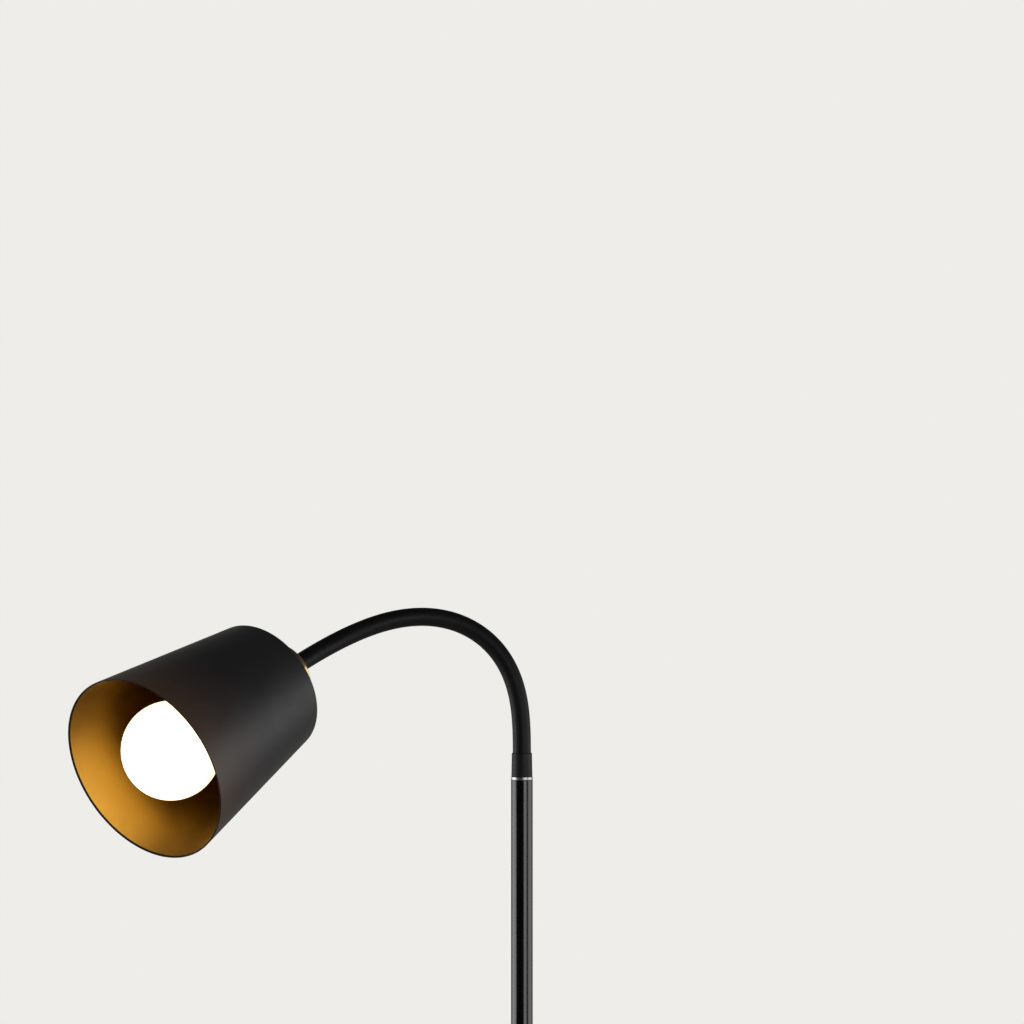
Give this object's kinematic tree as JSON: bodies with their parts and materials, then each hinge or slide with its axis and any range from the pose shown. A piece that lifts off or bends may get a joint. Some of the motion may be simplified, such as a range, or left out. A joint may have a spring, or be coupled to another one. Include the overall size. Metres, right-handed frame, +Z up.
{
  "type": "gooseneck floor lamp",
  "caption": "Slim floor lamp: a round weighted base, a straight pole and a bendable neck that carries one shade, with its lampholder and bulb.",
  "frame": {"origin": "middle of the base's underside, on the pole's axis", "axes": "+Z up the pole, -Y the way the shade faces at rest, +Y to the rear where the cord leaves"},
  "size_m": [0.2768, 0.465, 1.4624],
  "materials": {
    "base_cover": "satin black powder coat",
    "base_weight": "raw casting",
    "base_pad": "matte foam rubber",
    "base_collar": "semi-gloss black",
    "zinc_steel": "zinc plated",
    "pole_paint": "semi-gloss black",
    "bright_steel": "fine turned, bright",
    "black_rubber": "matte black",
    "lead_jacket": "smooth black jacket",
    "neck_steel": "bare steel",
    "neck_silicone": "smooth matte black silicone",
    "brass": "satin turned brass",
    "shade_black": "matte black outside, brass-coloured paint inside",
    "holder_plastic": "matte black moulding",
    "nickel_brass": "nickel plated",
    "core_insulation": "brown and blue insulation",
    "bulb_white": "smooth white moulding",
    "bulb_black": "black insulator",
    "bulb_metal": "rolled cap",
    "bulb_globe": "opal, lit from inside",
    "board_green": "green circuit board",
    "board_metal": "white-coated aluminium board"
  },
  "bodies": {
    "stand": {"base_cover": "base_cover", "base_weight": "base_weight", "base_pad": "base_pad", "base_collar": "base_collar", "foot_stud": "zinc_steel", "foot_washer": "zinc_steel", "foot_nut": "zinc_steel", "foot_plug": "zinc_steel", "pole_lower": "pole_paint", "pole_middle": "pole_paint", "pole_upper": "pole_paint", "pole_coupler_lower": "zinc_steel", "pole_coupler_upper": "zinc_steel", "cord_bush": "black_rubber", "pole_lead": "lead_jacket", "top_plug": "zinc_steel", "pole_ring": "bright_steel", "neck_foot": "neck_steel", "neck_boot": "black_rubber", "neck_sleeve": "neck_silicone", "neck_lead": "lead_jacket"},
    "neck_01": {"neck_link_01": "neck_steel"},
    "neck_02": {"neck_link_02": "neck_steel"},
    "neck_03": {"neck_link_03": "neck_steel"},
    "neck_04": {"neck_link_04": "neck_steel"},
    "neck_05": {"neck_link_05": "neck_steel"},
    "neck_06": {"neck_link_06": "neck_steel"},
    "neck_07": {"neck_link_07": "neck_steel"},
    "neck_08": {"neck_link_08": "neck_steel"},
    "neck_09": {"neck_link_09": "neck_steel"},
    "neck_10": {"neck_link_10": "neck_steel"},
    "neck_11": {"neck_link_11": "neck_steel"},
    "neck_12": {"neck_link_12": "neck_steel"},
    "neck_13": {"neck_link_13": "neck_steel"},
    "neck_14": {"neck_link_14": "neck_steel"},
    "neck_15": {"neck_link_15": "neck_steel"},
    "neck_16": {"neck_link_16": "neck_steel"},
    "neck_17": {"neck_link_17": "neck_steel"},
    "head": {"neck_tip": "neck_steel", "socket_cup": "brass", "tip_washer": "zinc_steel", "tip_nut": "zinc_steel", "cup_flange": "brass", "shade": "shade_black", "clamp_ring": "holder_plastic", "holder_cap": "holder_plastic", "holder_body": "holder_plastic", "screw_shell": "nickel_brass", "holder_contact": "nickel_brass", "terminal_screws": "nickel_brass", "lead_cores": "core_insulation", "bulb_contact": "nickel_brass", "bulb_insulator": "bulb_black", "bulb_cap": "bulb_metal", "bulb_housing": "bulb_white", "bulb_board": "board_metal", "bulb_driver": "board_green", "bulb_globe": "bulb_globe"}
  },
  "joints": [
    {"name": "neck_bend_01", "type": "hinge", "parent": "stand", "child": "neck_01", "pos_m": [0, 0, 1.36], "axis": [0.6428, -0.7661, 0.003], "range_deg": [-24, 5], "deforming": ["neck_sleeve", "neck_lead"]},
    {"name": "neck_bend_02", "type": "hinge", "parent": "neck_01", "child": "neck_02", "pos_m": [-0.00028, -0.00012, 1.37485], "axis": [0.6422, -0.7664, 0.0124], "range_deg": [-24, 5], "deforming": ["neck_sleeve", "neck_lead"]},
    {"name": "neck_sway_03", "type": "hinge", "parent": "neck_02", "child": "neck_03", "pos_m": [-0.00141, -0.0007, 1.38964], "axis": [0.7584, 0.6364, 0.1408], "range_deg": [-10, 10], "deforming": ["neck_sleeve", "neck_lead"]},
    {"name": "neck_bend_04", "type": "hinge", "parent": "neck_03", "child": "neck_04", "pos_m": [-0.00396, -0.00223, 1.40419], "axis": [0.6358, -0.7713, 0.03], "range_deg": [-24, 5], "deforming": ["neck_sleeve", "neck_lead"]},
    {"name": "neck_bend_05", "type": "hinge", "parent": "neck_04", "child": "neck_05", "pos_m": [-0.00831, -0.00529, 1.41806], "axis": [0.6355, -0.7718, 0.0185], "range_deg": [-24, 5], "deforming": ["neck_sleeve", "neck_lead"]},
    {"name": "neck_sway_06", "type": "hinge", "parent": "neck_05", "child": "neck_06", "pos_m": [-0.01452, -0.0103, 1.43058], "axis": [0.5967, 0.5007, 0.6271], "range_deg": [-10, 10], "deforming": ["neck_sleeve", "neck_lead"]},
    {"name": "neck_bend_07", "type": "hinge", "parent": "neck_06", "child": "neck_07", "pos_m": [-0.02224, -0.01747, 1.44104], "axis": [0.6824, -0.7298, -0.0426], "range_deg": [-24, 5], "deforming": ["neck_sleeve", "neck_lead"]},
    {"name": "neck_bend_08", "type": "hinge", "parent": "neck_07", "child": "neck_08", "pos_m": [-0.03088, -0.02667, 1.44887], "axis": [0.7323, -0.6783, -0.0606], "range_deg": [-24, 5], "deforming": ["neck_sleeve", "neck_lead"]},
    {"name": "neck_sway_09", "type": "hinge", "parent": "neck_08", "child": "neck_09", "pos_m": [-0.03975, -0.03752, 1.45379], "axis": [0.1869, 0.1568, 0.9698], "range_deg": [-10, 10], "deforming": ["neck_sleeve", "neck_lead"]},
    {"name": "neck_bend_10", "type": "hinge", "parent": "neck_09", "child": "neck_10", "pos_m": [-0.04826, -0.0495, 1.45591], "axis": [0.8344, -0.5509, -0.0178], "range_deg": [-24, 5], "deforming": ["neck_sleeve", "neck_lead"]},
    {"name": "neck_bend_11", "type": "hinge", "parent": "neck_10", "child": "neck_11", "pos_m": [-0.056, -0.06217, 1.45556], "axis": [0.8686, -0.4943, 0.0335], "range_deg": [-24, 5], "deforming": ["neck_sleeve", "neck_lead"]},
    {"name": "neck_sway_12", "type": "hinge", "parent": "neck_11", "child": "neck_12", "pos_m": [-0.06277, -0.07518, 1.45324], "axis": [-0.1719, -0.1443, 0.9745], "range_deg": [-10, 10], "deforming": ["neck_sleeve", "neck_lead"]},
    {"name": "neck_bend_13", "type": "hinge", "parent": "neck_12", "child": "neck_13", "pos_m": [-0.06851, -0.08835, 1.44948], "axis": [0.9024, -0.4051, 0.1469], "range_deg": [-24, 5], "deforming": ["neck_sleeve", "neck_lead"]},
    {"name": "neck_bend_14", "type": "hinge", "parent": "neck_13", "child": "neck_14", "pos_m": [-0.07324, -0.1016, 1.44472], "axis": [0.9093, -0.3657, 0.1984], "range_deg": [-24, 5], "deforming": ["neck_sleeve", "neck_lead"]},
    {"name": "neck_sway_15", "type": "hinge", "parent": "neck_14", "child": "neck_15", "pos_m": [-0.07699, -0.11493, 1.43934], "axis": [-0.3423, -0.2873, 0.8946], "range_deg": [-10, 10], "deforming": ["neck_sleeve", "neck_lead"]},
    {"name": "neck_bend_16", "type": "hinge", "parent": "neck_15", "child": "neck_16", "pos_m": [-0.07979, -0.12834, 1.43363], "axis": [0.9149, -0.2826, 0.2883], "range_deg": [-24, 5], "deforming": ["neck_sleeve", "neck_lead"]},
    {"name": "neck_bend_17", "type": "hinge", "parent": "neck_16", "child": "neck_17", "pos_m": [-0.08165, -0.14185, 1.42775], "axis": [0.9134, -0.2381, 0.3301], "range_deg": [-24, 5], "deforming": ["neck_sleeve", "neck_lead"]},
    {"name": "neck_sway_18", "type": "hinge", "parent": "neck_17", "child": "head", "pos_m": [-0.08258, -0.15543, 1.42182], "axis": [-0.4188, -0.3514, 0.8373], "range_deg": [-10, 10], "deforming": ["neck_sleeve", "neck_lead"]}
  ]
}
